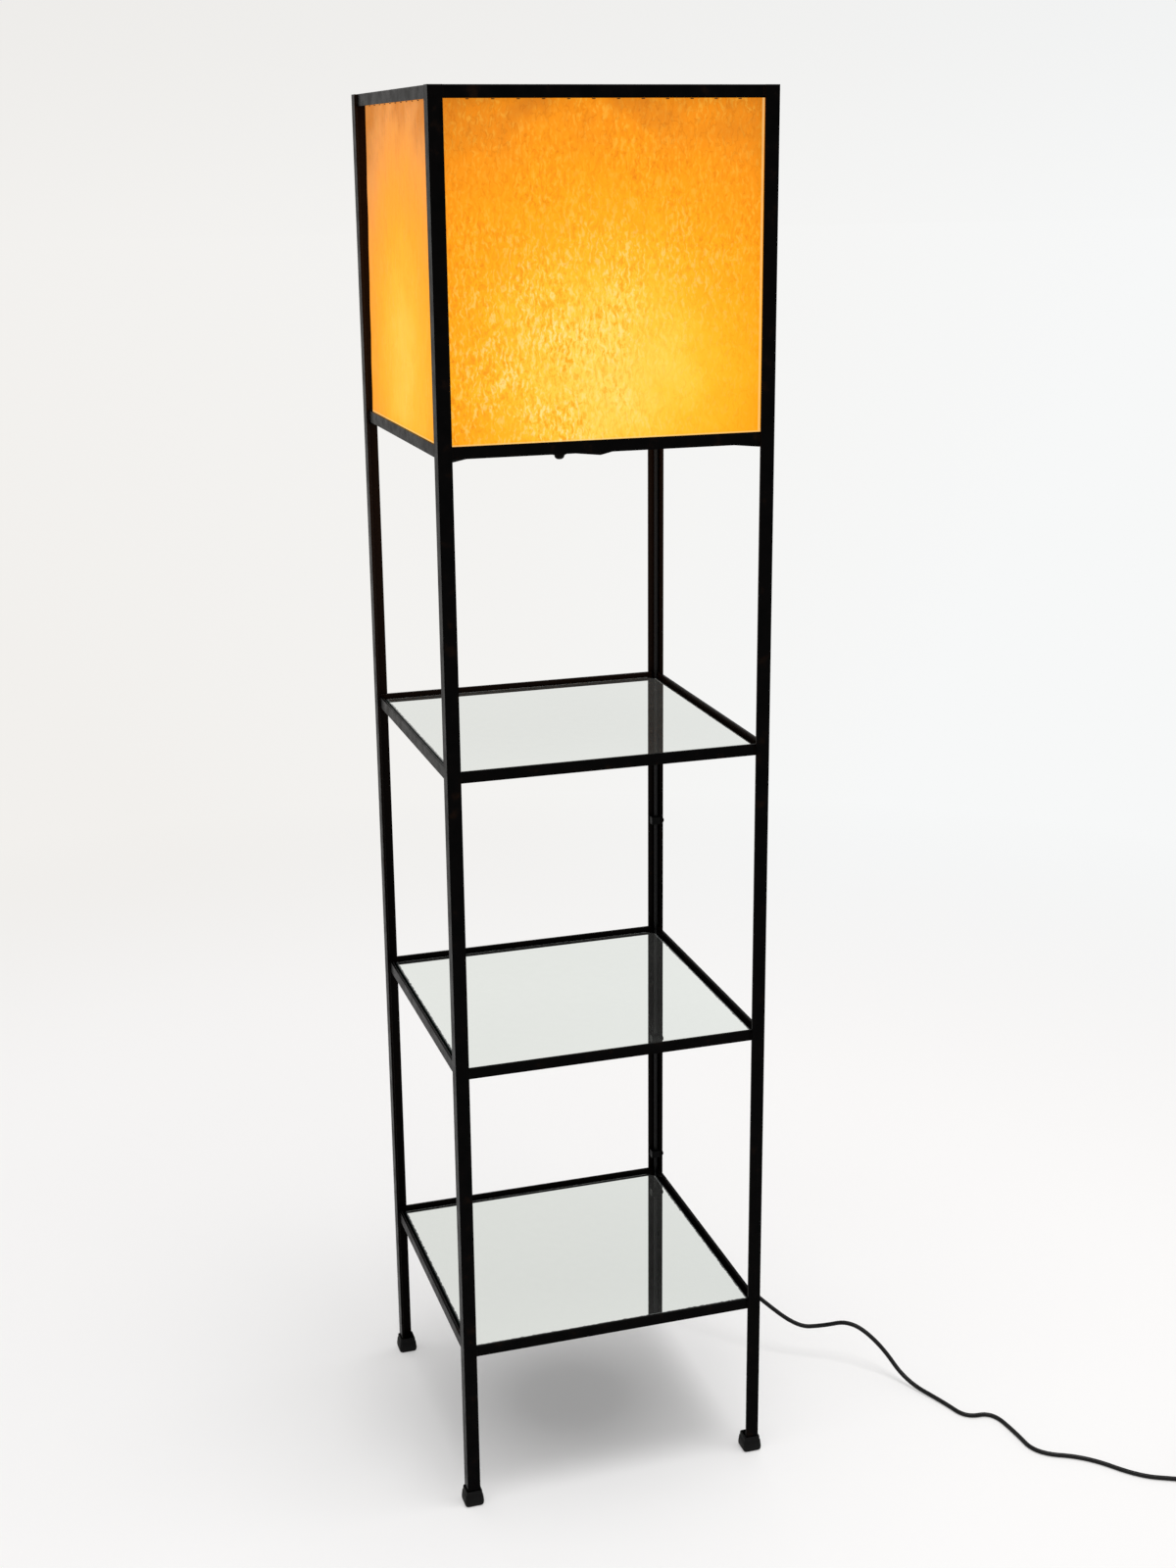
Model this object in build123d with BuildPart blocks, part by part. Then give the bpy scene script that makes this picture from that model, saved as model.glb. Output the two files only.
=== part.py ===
from build123d import *
import os
from math import atan2, cos, degrees, hypot, pi, radians, sin, tan

# A floor lamp that is also a set of shelves: four angle-iron posts, five square rims of angle
# iron welded between them, three loose mirror shelves, and a light box of four amber fibreglass
# panels at the top with one lampholder on a pair of crossed bars. Millimetres, +Z up, the
# front along -Y, the origin on the floor under the middle of the lamp.

os.makedirs("parts", exist_ok=True)

# --- frame -----------------------------------------------------------------
frame_width = 360.0         # outside of the posts, left to right
frame_depth = 360.0         # outside of the posts, front to back
total_height = 1564.0       # floor to the top of the posts
post_leg = 15.0             # leg of the posts' angle iron
rail_leg = 12.5             # leg of the rails' angle iron
iron_thickness = 3.0        # both angle irons
toe_radius = 0.8            # rounded edge of each leg
root_radius = 0.8           # inside corner between the legs

shade_rim_top = 1221.0      # top of the rim that carries the panels
upper_shelf_top = 884.0     # tops of the three shelf rims
middle_shelf_top = 548.0
lower_shelf_top = 205.0

weld_radius = 1.7           # convex bead in the corner between post and rail
weld_end_margin = 2.0       # bead stops short of the rail's top and bottom

# --- rubber tips -----------------------------------------------------------
foot_wall = 1.9             # rubber round the post
foot_flare_side = 23.0
foot_base_side = 16.5
foot_height = 19.0
foot_flare_height = 6.5
foot_floor = 3.5            # rubber under the post
foot_corner_radius = 3.0
foot_slot_gap = 0.05

# --- mirror shelves --------------------------------------------------------
mirror_thickness = 4.0
mirror_play_across = 10.0   # total gap to the rim, left and right
mirror_play_deep = 10.0     # total gap to the rim, front and back
mirror_shift_right = 0.5    # each pane lies a little off the middle of its rim
mirror_shift_back = 2.5
mirror_cord_cut = 11.0      # corner that clears the cord and its clips as a pane is lifted
mirror_corner_nip = 1.5     # other corners
mirror_edge_chamfer = 0.5

# --- fibreglass panels -----------------------------------------------------
panel_thickness = 1.2
panel_overlap = 1.0         # behind each post's toe
panel_gap = 0.2             # between rail and panel
panel_foot_gap = 0.3        # above the rim's ledge
panel_head_gap = 1.0        # below the top rim's ledge
torn_gap_top = 29.0         # left panel's torn rear edge to the post's toe
torn_gap_bottom = 6.0
torn_edge_steps = (0.0, 1.1, -0.7, 0.9, -1.0, 0.4, -0.5, 1.3, -0.9, 0.6, -0.4, 0.0)

batten_height = 9.0
batten_thickness = 1.5
batten_end_gap = 12.0       # short of the panel's ends
staple_pitch = 25.4
staple_crown = 3.2
staple_wire = 0.8
staple_drop = 1.1           # below the rail's lower edge

# --- crossed bars ----------------------------------------------------------
bar_width = 16.0
bar_thickness = 3.0
bar_corner_gap = 1.0        # to the posts
crank_drop = 16.0           # middle of the upper bar below its ends
crank_inner = 55.0          # flat middle, half length
crank_outer = 115.0         # start of the flat ends
cord_fork_width = 8.0       # slot in the bar's end, and gap between the rails' mitres
cord_fork_start = 27.0      # from the cord's corner

# --- lampholder ------------------------------------------------------------
nipple_radius = 5.0
nipple_bore = 3.5
nipple_gap = 0.2
nipple_head = 2.0           # stands up inside the holder's cap
nut_across_flats = 14.0
nut_height = 3.5
cap_nut_radius = 5.6
cap_nut_height = 5.0
cap_nut_rounding = 4.2
holder_cap_radius = 17.5
holder_cap_height = 14.0
holder_cap_bevel = 5.0
holder_wall = 0.9
holder_shell_height = 34.0
holder_shell_start = 8.0    # above the cap's foot
holder_slip = 0.1
holder_bead = 1.0
hole_margin = 2.0           # a cutting tool reaches this far past the wall
sleeve_wall = 0.6
block_start = 14.5          # switch block above the cap's foot
block_height = 9.0
tongue_height = 1.0
tongue_radius = 4.0
screw_shell_bore = 13.9
screw_shell_wall = 0.5
screw_shell_height = 19.0
knob_axis_height = 19.0     # above the cap's foot
knob_shaft_radius = 2.0
knob_shaft_gap = 0.06
knob_shaft_depth = 7.0      # into the block
knob_standoff = 5.0         # shell to knob
knob_radius = 6.0
knob_length = 9.0
knob_taper = 3.0            # degrees
knob_flutes = 12
knob_flute_radius = 0.8

# --- bulb ------------------------------------------------------------------
bulb_radius = 27.5
bulb_length = 98.0          # contact to the top of the glass
bulb_cap_radius = 13.1
bulb_cap_height = 21.0
bulb_neck_radius = 12.2
bulb_neck_height = 3.0
bulb_neck_angle = 35.0      # where the cone meets the round head, below its equator
bulb_glass_wall = 0.8
bulb_tip_radius = 4.5
bulb_tip_height = 3.0
bulb_tip_fillet = 1.0
bulb_stem_radius = 4.0
bulb_stem_height = 34.0
bulb_stem_flare = 1.0       # the stem's flare starts above the glass's foot
bulb_stem_waist = 8.0       # and is slim from here up
filament_span = 16.0
filament_radius = 0.35
filament_wire = 0.5
filament_foot = 0.2         # above the stem's waist
filament_rise = 6.0         # above the stem's top
filament_bend = 3.0

# --- mains cord ------------------------------------------------------------
cord_diameter = 5.5
cord_corner_gap = 0.5       # to the post's inside faces
cord_outlet_height = 7.5    # above the cap's foot
cord_bar_gap = 0.45         # over the bar's flat end
cord_bend_radius = 22.0     # from the bar down into the corner
cord_rise_radius = 150.0
cord_rise_lead = 5.0        # starts to rise inside the bar's crank
cord_crest_lead = 8.0       # level again inside the bar's flat end
bushing_radius = 4.2
bushing_length = 6.0
bushing_inset = 0.5         # behind the holder's wall
clip_reach = 11.0           # from the post's inside corner, each way
clip_height = 9.0
clip_slip = 0.1
clip_fillet = 1.5
upper_clip_height = 692.0
lower_clip_height = 228.0
clip_screw_radius = 1.5
clip_screw_depth = 6.0      # into the clip
clip_head_radius = 2.8
clip_head_height = 1.8
clip_head_fillet = 1.0

# --- cord on the floor -----------------------------------------------------
exit_drop = 18.5            # straight down out of the lowest rim
free_bends = [              # from the exit, down to the floor behind the lamp
    (-3.3, -26.2, -31.4), (16.2, -47.3, -41.0), (40.0, -76.0, -66.5), (66.25, -110.75, -98.5),
    (93.25, -142.75, -122.0), (132.25, -176.75, -151.5), (161.25, -189.75, -148.0),
    (191.25, -212.25, -133.0), (218.25, -245.75, -153.5), (236.25, -283.75, -187.5),
]
floor_bends = [             # on the floor
    (436.0, -166.0), (447.0, -203.0), (482.0, -204.0), (489.0, -250.0), (491.0, -297.0),
    (545.0, -322.0), (584.0, -375.0), (624.0, -394.0),
]
coil_place = (667.3, -419.2)
coil_aim = (0.859, -0.512)
last_run = 25.0             # straight into the coil
bend_share = 0.45           # of the shorter run on either side of a bend
first_share = 0.86          # of the straight piece out of the rim

coil_inner_radius = 27.0    # where the turns reverse
coil_pitch = 6.2            # from a turn to the next
coil_layer = 6.0            # from the lower layer to the upper
coil_quarters_in = 7        # quarter turns of the lower layer
coil_quarters_out = 8       # quarter turns of the upper layer
coil_tail = 14.0            # straight piece to the plug
sample_step = 2.0           # between the points that the coil's gap is measured at
tie_angle = -45.0           # round the coil
tie_thickness = 0.5
tie_gap = 0.15              # over and under the turns
tie_margin = 2.4            # inside and outside the turns
tie_corner = 2.0
tie_width = 7.0

plug_width = 25.0
plug_length = 30.0
plug_corner_radius = 5.0
plug_edge_chamfer = 1.2
plug_sleeve_length = 22.0
plug_sleeve_start = 3.3
plug_sleeve_end = 5.2
plug_ribs = 4
plug_rib_depth = 0.5
plug_rib_width = 1.6
blade_width = 6.3
blade_thickness = 1.5
blade_length = 17.0
blade_spacing = 12.7
blade_hole_radius = 1.6
blade_hole_inset = 4.5

# --- worked out from the above ---------------------------------------------
half_width = frame_width / 2
half_depth = frame_depth / 2
rim_width = frame_width - 2 * iron_thickness
rim_depth = frame_depth - 2 * iron_thickness
cord_radius = cord_diameter / 2
cord_inset = iron_thickness + cord_corner_gap + cord_radius
cord_corner = Vector(half_width - cord_inset, half_depth - cord_inset, 0)
cord_exit_height = lower_shelf_top - rail_leg
clip_heights = (upper_clip_height, lower_clip_height)
cord_direction = cord_corner.normalized()
corner_reach = cord_corner.length
shade_rim_bottom = shade_rim_top - rail_leg
holder_foot = shade_rim_bottom - crank_drop
shelf_tops = {"upper": upper_shelf_top, "middle": middle_shelf_top, "lower": lower_shelf_top}
sides = ("front", "right", "back", "left")
side_turn = {"front": 0, "right": 90, "back": 180, "left": 270}
side_span = {"front": rim_width, "right": rim_depth, "back": rim_width, "left": rim_depth}
side_reach = {
    "front": rim_depth / 2, "right": rim_width / 2, "back": rim_depth / 2, "left": rim_width / 2,
}
corners = {
    "front_left": (-1, -1, 0), "front_right": (1, -1, 90),
    "back_right": (1, 1, 180), "back_left": (-1, 1, 270),
}
tiny = 1e-4


def save(part, name):
    """Label a finished piece and write its STEP file."""
    part.label = name
    export_step(part, f"parts/{name}.step")


def angle_section(leg):
    """L section with its heel at the origin and its legs along +X and +Y."""
    with BuildSketch() as section:
        Rectangle(leg, iron_thickness, align=(Align.MIN, Align.MIN))
        Rectangle(iron_thickness, leg, align=(Align.MIN, Align.MIN))
        toes = [v for v in section.vertices() if abs(v.X + v.Y - leg - iron_thickness) < tiny]
        root = [v for v in section.vertices() if abs(v.X + v.Y - 2 * iron_thickness) < tiny]
        fillet(toes, toe_radius)
        fillet(root, root_radius)
    return section.sketch


def side_plane(side, along, outward, height):
    """Plane of one side of the lamp: X along the side, Y inward, Z up."""
    turned = Plane.XY.rotated((0, 0, side_turn[side]))
    origin = turned.from_local_coords(Vector(along, -outward, height))
    return Plane(origin=origin, x_dir=turned.x_dir, z_dir=(0, 0, 1))


# --- posts -----------------------------------------------------------------
clip_arm = clip_reach - (cord_inset - iron_thickness) - cord_radius - clip_slip
clip_axis_y = half_depth - iron_thickness - clip_reach + clip_arm / 2
post_section = angle_section(post_leg)
for corner, (sign_x, sign_y, turn) in corners.items():
    with BuildPart() as post:
        with BuildSketch(Plane.XY.offset(foot_floor)):
            with Locations(Location((sign_x * half_width, sign_y * half_depth, 0), (0, 0, turn))):
                add(post_section)
        extrude(amount=total_height - foot_floor)
        if corner == "back_right":
            for height in clip_heights:
                with Locations(Plane((half_width, clip_axis_y, height), z_dir=(1, 0, 0))):
                    Hole(clip_screw_radius, depth=iron_thickness + toe_radius)
    save(post.part, f"post_{corner}")

# --- rubber tips -----------------------------------------------------------
foot_top_side = post_leg + 2 * foot_wall
foot_levels = (
    (0, foot_base_side), (foot_flare_height, foot_flare_side), (foot_height, foot_top_side),
)


def rubber_tip(sign_x, sign_y, turn):
    """Square rubber cup, widest near the floor, with a slot for the post's angle."""
    middle = (sign_x * (half_width - post_leg / 2), sign_y * (half_depth - post_leg / 2))
    with BuildPart() as tip:
        for level, side_length in foot_levels:
            with BuildSketch(Plane(origin=(*middle, level))):
                RectangleRounded(side_length, side_length, foot_corner_radius)
        loft(ruled=True)
        with BuildSketch(Plane.XY.offset(foot_floor)):
            with Locations(Location((sign_x * half_width, sign_y * half_depth, 0), (0, 0, turn))):
                add(post_section)
            offset(amount=foot_slot_gap)
        extrude(amount=foot_height, mode=Mode.SUBTRACT)
    return tip.part


with BuildPart() as tips:
    for sign_x, sign_y, turn in corners.values():
        add(rubber_tip(sign_x, sign_y, turn))
save(tips.part, "rubber_tips")


# --- rims ------------------------------------------------------------------
mitre_gap = cord_fork_width / 2 / cos(radians(45))


def rim_rail(side, top, ledge_on_top=False, cord_passes=True):
    """One rail of a square rim, mitred, its upright leg outside and its ledge inward."""
    span = side_span[side]
    reach = side_reach[side]
    start_cut = mitre_gap if cord_passes and side == "back" else 0
    end_cut = mitre_gap if cord_passes and side == "right" else 0
    heel = top if ledge_on_top else top - rail_leg
    base = side_plane(side, -span / 2, reach, heel)
    with BuildPart() as rail:
        with BuildSketch(Plane(origin=base.origin, x_dir=base.y_dir, z_dir=base.x_dir)):
            with Locations(Location((0, 0, 0), (0, 0, -90 if ledge_on_top else 0))):
                add(angle_section(rail_leg))
        extrude(amount=span)
        with BuildSketch(side_plane(side, 0, reach, top - rail_leg)):
            with BuildLine():
                Polyline(
                    (-span / 2 + start_cut, 0), (span / 2 - end_cut, 0),
                    (span / 2 - end_cut - rail_leg, rail_leg),
                    (-span / 2 + start_cut + rail_leg, rail_leg), close=True,
                )
            make_face()
        extrude(amount=rail_leg, mode=Mode.INTERSECT)
    return rail.part


for side in sides:
    save(rim_rail(side, total_height, ledge_on_top=True, cord_passes=False), f"top_rail_{side}")
    save(rim_rail(side, shade_rim_top), f"shade_rail_{side}")
    for shelf, top in shelf_tops.items():
        save(rim_rail(side, top), f"{shelf}_rail_{side}")

# --- weld beads ------------------------------------------------------------
rim_tops = (total_height, shade_rim_top, *shelf_tops.values())
with BuildPart() as welds:
    for side in sides:
        toe = side_span[side] / 2 + iron_thickness - post_leg
        for top in rim_tops:
            bead_foot = top - rail_leg + weld_end_margin
            for hand, edge in ((-1, Align.MIN), (1, Align.MAX)):
                with BuildSketch(side_plane(side, hand * toe, side_reach[side], bead_foot)):
                    Circle(weld_radius)
                    Rectangle(
                        weld_radius, weld_radius, mode=Mode.INTERSECT, align=(edge, Align.MAX),
                    )
                extrude(amount=rail_leg - 2 * weld_end_margin)
save(welds.part, "weld_beads")

# --- mirror shelves --------------------------------------------------------
mirror_width = rim_width - 2 * iron_thickness - mirror_play_across
mirror_depth = rim_depth - 2 * iron_thickness - mirror_play_deep
for shelf, top in shelf_tops.items():
    with BuildPart() as mirror:
        with BuildSketch(Plane.XY.offset(top - rail_leg + iron_thickness)):
            with Locations((mirror_shift_right, mirror_shift_back)):
                Rectangle(mirror_width, mirror_depth)
            *others, cord_side = vertices().sort_by(lambda v: v.X + v.Y)
            chamfer(cord_side, mirror_cord_cut)
            chamfer(others, mirror_corner_nip)
        extrude(amount=mirror_thickness)
        chamfer(mirror.faces().sort_by(Axis.Z)[-1].edges(), mirror_edge_chamfer)
        chamfer(mirror.faces().sort_by(Axis.Z)[0].edges(), mirror_edge_chamfer)
    save(mirror.part, f"mirror_{shelf}")

# --- fibreglass panels -----------------------------------------------------
panel_foot = shade_rim_bottom + iron_thickness + panel_foot_gap
panel_head = total_height - iron_thickness - panel_head_gap
panel_height = panel_head - panel_foot
for side in sides:
    half_panel = side_span[side] / 2 + iron_thickness - post_leg + panel_overlap
    face = side_plane(side, 0, side_reach[side] - iron_thickness - panel_gap, panel_foot)
    with BuildPart() as panel:
        with BuildSketch(Plane(origin=face.origin, x_dir=face.x_dir, z_dir=-face.y_dir)):
            with BuildLine():
                if side == "left":
                    torn_low = -half_panel + panel_overlap + torn_gap_bottom
                    torn_high = -half_panel + panel_overlap + torn_gap_top
                    steps = len(torn_edge_steps) - 1
                    torn_lean = torn_high - torn_low
                    torn = [
                        (torn_low + torn_lean * i / steps + jag, panel_height * i / steps)
                        for i, jag in enumerate(torn_edge_steps)
                    ]
                    Polyline((half_panel, 0), *torn, (half_panel, panel_height), close=True)
                else:
                    Polyline(
                        (-half_panel, 0), (half_panel, 0),
                        (half_panel, panel_height), (-half_panel, panel_height), close=True,
                    )
            make_face()
        extrude(amount=-panel_thickness)
    save(panel.part, f"panel_{side}")

# --- battens and staples along the panels' heads ---------------------------
rail_edge = total_height - rail_leg
with BuildPart() as battens:
    for side in sides:
        inner = side_reach[side] - iron_thickness - panel_gap - panel_thickness
        half_batten = side_span[side] / 2 + iron_thickness - post_leg - batten_end_gap
        lead = torn_gap_top if side == "left" else 0
        with BuildSketch(side_plane(side, 0, inner, rail_edge - staple_drop - staple_wire)):
            with Locations((-half_batten + lead, 0)):
                Rectangle(
                    2 * half_batten - lead, batten_thickness, align=(Align.MIN, Align.MIN),
                )
        extrude(amount=batten_height)
save(battens.part, "panel_battens")

with BuildPart() as staples:
    for side in sides:
        outer = side_reach[side] - iron_thickness - panel_gap
        half_batten = side_span[side] / 2 + iron_thickness - post_leg - batten_end_gap
        lead = torn_gap_top if side == "left" else 0
        count = int((2 * half_batten - lead - staple_crown) // staple_pitch)
        first = (lead - count * staple_pitch) / 2
        with BuildSketch(side_plane(side, 0, outer, rail_edge - staple_drop)):
            for i in range(count + 1):
                middle = first + i * staple_pitch
                with Locations((middle, 0)):
                    Rectangle(staple_crown, staple_wire, align=(Align.CENTER, Align.MAX))
                for hand in (-1, 1):
                    with Locations((middle + hand * (staple_crown - staple_wire) / 2, 0)):
                        Rectangle(
                            staple_wire, panel_thickness + batten_thickness,
                            align=(Align.CENTER, Align.MIN),
                        )
        extrude(amount=staple_wire)
save(staples.part, "panel_staples")

# --- crossed bars ----------------------------------------------------------
bar_reach = hypot(half_width, half_depth)
bar_angle = degrees(atan2(cord_corner.Y, cord_corner.X))


def cranked_bar(angle, drop, forked):
    """Flat bar on a diagonal, its ends under the shade rim's ledges and its middle lower."""
    turned = Plane.XY.rotated((0, 0, angle))
    upright = Plane(origin=(0, 0, shade_rim_bottom), x_dir=turned.x_dir, z_dir=-turned.y_dir)
    top_line = [
        (-bar_reach, 0), (-crank_outer, 0), (-crank_inner, -drop),
        (crank_inner, -drop), (crank_outer, 0), (bar_reach, 0),
    ]
    under_line = [(x, z - bar_thickness) for x, z in reversed(top_line)]
    with BuildPart() as bar:
        with BuildSketch(upright):
            with BuildLine():
                Polyline(*top_line, *under_line, close=True)
            make_face()
        extrude(amount=bar_width / 2, both=True)
        with BuildSketch(Plane.XY.offset(shade_rim_bottom - drop - bar_thickness)):
            Rectangle(rim_width - 2 * bar_corner_gap, rim_depth - 2 * bar_corner_gap)
        extrude(amount=drop + bar_thickness, mode=Mode.INTERSECT)
        with Locations((0, 0, shade_rim_bottom)):
            Hole(nipple_radius + nipple_gap, depth=drop + bar_thickness)
        if forked:
            fork_reach = cord_direction * (corner_reach - cord_fork_start)
            fork = Plane(
                origin=fork_reach + Vector(0, 0, shade_rim_bottom),
                x_dir=cord_direction, z_dir=(0, 0, 1),
            )
            with BuildSketch(fork):
                Rectangle(bar_reach, cord_fork_width, align=(Align.MIN, Align.CENTER))
            extrude(amount=-bar_thickness, mode=Mode.SUBTRACT)
    return bar.part


save(cranked_bar(bar_angle, crank_drop, forked=True), "bar_upper")
save(cranked_bar(-bar_angle, crank_drop + bar_thickness, forked=False), "bar_lower")

# --- nipple and nuts under the bars ----------------------------------------
nut_top = holder_foot - 2 * bar_thickness
cap_nut_top = nut_top - nut_height
with BuildPart() as nipple:
    with Locations((0, 0, cap_nut_top)):
        Cylinder(
            nipple_radius, holder_foot + holder_wall + nipple_head - cap_nut_top,
            align=(Align.CENTER, Align.CENTER, Align.MIN),
        )
    Hole(nipple_bore)
save(nipple.part, "nipple")

with BuildPart() as hex_nut:
    with BuildSketch(Plane.XY.offset(cap_nut_top)):
        RegularPolygon(nut_across_flats / 2, 6, major_radius=False)
        Circle(nipple_radius, mode=Mode.SUBTRACT)
    extrude(amount=nut_height)
save(hex_nut.part, "hex_nut")

with BuildPart() as cap_nut:
    with BuildSketch(Plane.XY.offset(cap_nut_top - cap_nut_height)):
        Circle(cap_nut_radius)
    extrude(amount=cap_nut_height)
    fillet(cap_nut.faces().sort_by(Axis.Z)[0].edges(), cap_nut_rounding)
save(cap_nut.part, "cap_nut")

# --- lampholder ------------------------------------------------------------
outlet = Plane(
    origin=Vector(0, 0, holder_foot + cord_outlet_height), x_dir=(0, 0, 1), z_dir=cord_direction,
)
knob_plane = Plane(
    origin=(0, 0, holder_foot + knob_axis_height), x_dir=(1, 0, 0), z_dir=(0, -1, 0),
)

with BuildPart() as holder_cap:
    with BuildSketch(Plane.XY.offset(holder_foot)):
        Circle(holder_cap_radius)
    extrude(amount=holder_cap_height)
    chamfer(holder_cap.faces().sort_by(Axis.Z)[0].edges(), holder_cap_bevel)
    offset(amount=-holder_wall, openings=holder_cap.faces().sort_by(Axis.Z)[-1])
    with Locations((0, 0, holder_foot + holder_wall)):
        Hole(nipple_radius, depth=2 * holder_wall)
    with BuildSketch(outlet):
        Circle(bushing_radius)
    extrude(amount=holder_cap_radius + hole_margin, mode=Mode.SUBTRACT)
save(holder_cap.part, "holder_cap")

shell_radius = holder_cap_radius - holder_wall - holder_slip
shell_foot = holder_foot + holder_shell_start
shell_head = shell_foot + holder_shell_height
with BuildPart() as holder_shell:
    with BuildSketch(Plane.XY.offset(shell_foot)):
        Circle(shell_radius)
        Circle(shell_radius - holder_wall, mode=Mode.SUBTRACT)
    extrude(amount=holder_shell_height)
    with BuildSketch(Plane.XZ):
        with Locations((shell_radius, shell_head - holder_bead)):
            Circle(holder_bead)
        with Locations((shell_radius, holder_foot + holder_cap_height + holder_bead)):
            Circle(holder_bead)
        with Locations((shell_radius, shell_foot)):
            Rectangle(
                2 * holder_bead, holder_shell_height, mode=Mode.INTERSECT, align=(Align.MIN, Align.MIN),
            )
    revolve(axis=Axis.Z)
    with BuildSketch(knob_plane):
        Circle(knob_shaft_radius + knob_shaft_gap)
    extrude(amount=shell_radius + hole_margin, mode=Mode.SUBTRACT)
    with BuildSketch(outlet):
        Circle(bushing_radius)
    extrude(amount=shell_radius + hole_margin, mode=Mode.SUBTRACT)
save(holder_shell.part, "holder_shell")

block_foot = holder_foot + block_start
block_head = block_foot + block_height
sleeve_radius = shell_radius - holder_wall
with BuildPart() as sleeve:
    with BuildSketch(Plane.XY.offset(block_head)):
        Circle(sleeve_radius)
        Circle(sleeve_radius - sleeve_wall, mode=Mode.SUBTRACT)
    extrude(amount=shell_head - block_head)
save(sleeve.part, "holder_sleeve")

with BuildPart() as block:
    with BuildSketch(Plane.XY.offset(block_foot)):
        Circle(sleeve_radius)
    extrude(amount=block_height)
    with BuildSketch(knob_plane.offset(sleeve_radius - knob_shaft_depth)):
        Circle(knob_shaft_radius + knob_shaft_gap)
    extrude(amount=knob_shaft_depth, mode=Mode.SUBTRACT)
save(block.part, "switch_block")

with BuildPart() as tongue:
    with BuildSketch(Plane.XY.offset(block_head)):
        Circle(tongue_radius)
    extrude(amount=tongue_height)
save(tongue.part, "contact_tongue")

with BuildPart() as screw_shell:
    with BuildSketch(Plane.XY.offset(block_head)):
        Circle(screw_shell_bore + screw_shell_wall)
        Circle(screw_shell_bore, mode=Mode.SUBTRACT)
    extrude(amount=screw_shell_height)
save(screw_shell.part, "screw_shell")

with BuildPart() as bushing:
    with BuildSketch(outlet.offset(holder_cap_radius - holder_wall - bushing_inset)):
        Circle(bushing_radius)
        Circle(cord_radius, mode=Mode.SUBTRACT)
    extrude(amount=bushing_length)
save(bushing.part, "cord_bushing")

with BuildPart() as knob:
    with BuildSketch(knob_plane.offset(shell_radius + knob_standoff)):
        Circle(knob_radius)
        with PolarLocations(knob_radius, knob_flutes):
            Circle(knob_flute_radius, mode=Mode.SUBTRACT)
    extrude(amount=knob_length, taper=knob_taper)
    with BuildSketch(knob_plane.offset(sleeve_radius - knob_shaft_depth)):
        Circle(knob_shaft_radius)
    extrude(amount=knob_shaft_depth + holder_wall + knob_standoff)
save(knob.part, "switch_knob")

# --- bulb ------------------------------------------------------------------
bulb_foot = block_head + tongue_height
cap_foot = bulb_foot + bulb_tip_height
glass_foot = cap_foot + bulb_cap_height
bulb_top = bulb_foot + bulb_length
bulb_middle = bulb_top - bulb_radius
neck_top = glass_foot + bulb_neck_height
stem_top = glass_foot + bulb_stem_height
stem_waist = glass_foot + bulb_stem_waist
neck_angle = radians(bulb_neck_angle)


def bulb_outline(wall):
    """Radius of the neck, point where the cone meets the head, and radius of the head."""
    head_radius = bulb_radius - wall
    waist = (head_radius * cos(neck_angle), bulb_middle - head_radius * sin(neck_angle))
    return bulb_neck_radius - wall, waist, head_radius


with BuildPart() as bulb_glass:
    with BuildSketch(Plane.XZ):
        with BuildLine():
            neck, waist, head = bulb_outline(0)
            neck_in, waist_in, head_in = bulb_outline(bulb_glass_wall)
            Line((neck, glass_foot), (neck, neck_top))
            Line((neck, neck_top), waist)
            ThreePointArc(waist, (head, bulb_middle), (0, bulb_middle + head))
            Line((0, bulb_middle + head), (0, bulb_middle + head_in))
            ThreePointArc((0, bulb_middle + head_in), (head_in, bulb_middle), waist_in)
            Polyline(
                waist_in, (neck_in, neck_top), (neck_in, glass_foot + bulb_stem_flare),
                (bulb_stem_radius, stem_waist), (bulb_stem_radius / 2, stem_top), (0, stem_top),
                (0, glass_foot), (neck, glass_foot),
            )
        make_face()
    revolve(axis=Axis.Z)
save(bulb_glass.part, "bulb_glass")

with BuildPart() as bulb_cap:
    with BuildSketch(Plane.XY.offset(cap_foot)):
        Circle(bulb_cap_radius)
    extrude(amount=bulb_cap_height)
save(bulb_cap.part, "bulb_cap")

with BuildPart() as bulb_tip:
    with BuildSketch(Plane.XY.offset(bulb_foot)):
        Circle(bulb_tip_radius)
    extrude(amount=bulb_tip_height)
    fillet(bulb_tip.faces().sort_by(Axis.Z)[0].edges(), bulb_tip_fillet)
save(bulb_tip.part, "bulb_tip")

filament_level = stem_top + filament_rise
with BuildPart() as filament:
    for hand in (-1, 1):
        support = [
            (hand * bulb_stem_radius, 0, stem_waist + filament_foot),
            (hand * filament_span / 2, 0, stem_top), (hand * filament_span / 2, 0, filament_level),
        ]
        with BuildLine() as wire:
            FilletPolyline(*support, radius=filament_bend)
        with BuildSketch(Plane(origin=wire.line @ 0, z_dir=wire.line % 0)):
            Circle(filament_wire)
        sweep(path=wire.line)
    with Locations(Location((-filament_span / 2, 0, filament_level), (0, 90, 0))):
        Cylinder(filament_radius, filament_span, align=(Align.CENTER, Align.CENTER, Align.MIN))
save(filament.part, "bulb_filament")


# --- mains cord held by the lamp -------------------------------------------
def on_diagonal(reach, height):
    """Point over the bar to the cord's corner, by its distance from the middle."""
    return cord_direction * reach + Vector(0, 0, height)


def cord_tube(line):
    """The cord's round section along a line of runs and arcs."""
    with BuildPart() as tube:
        with BuildSketch(Plane(origin=line @ 0, z_dir=line % 0)):
            Circle(cord_radius)
        sweep(path=line)
    return tube.part


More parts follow.
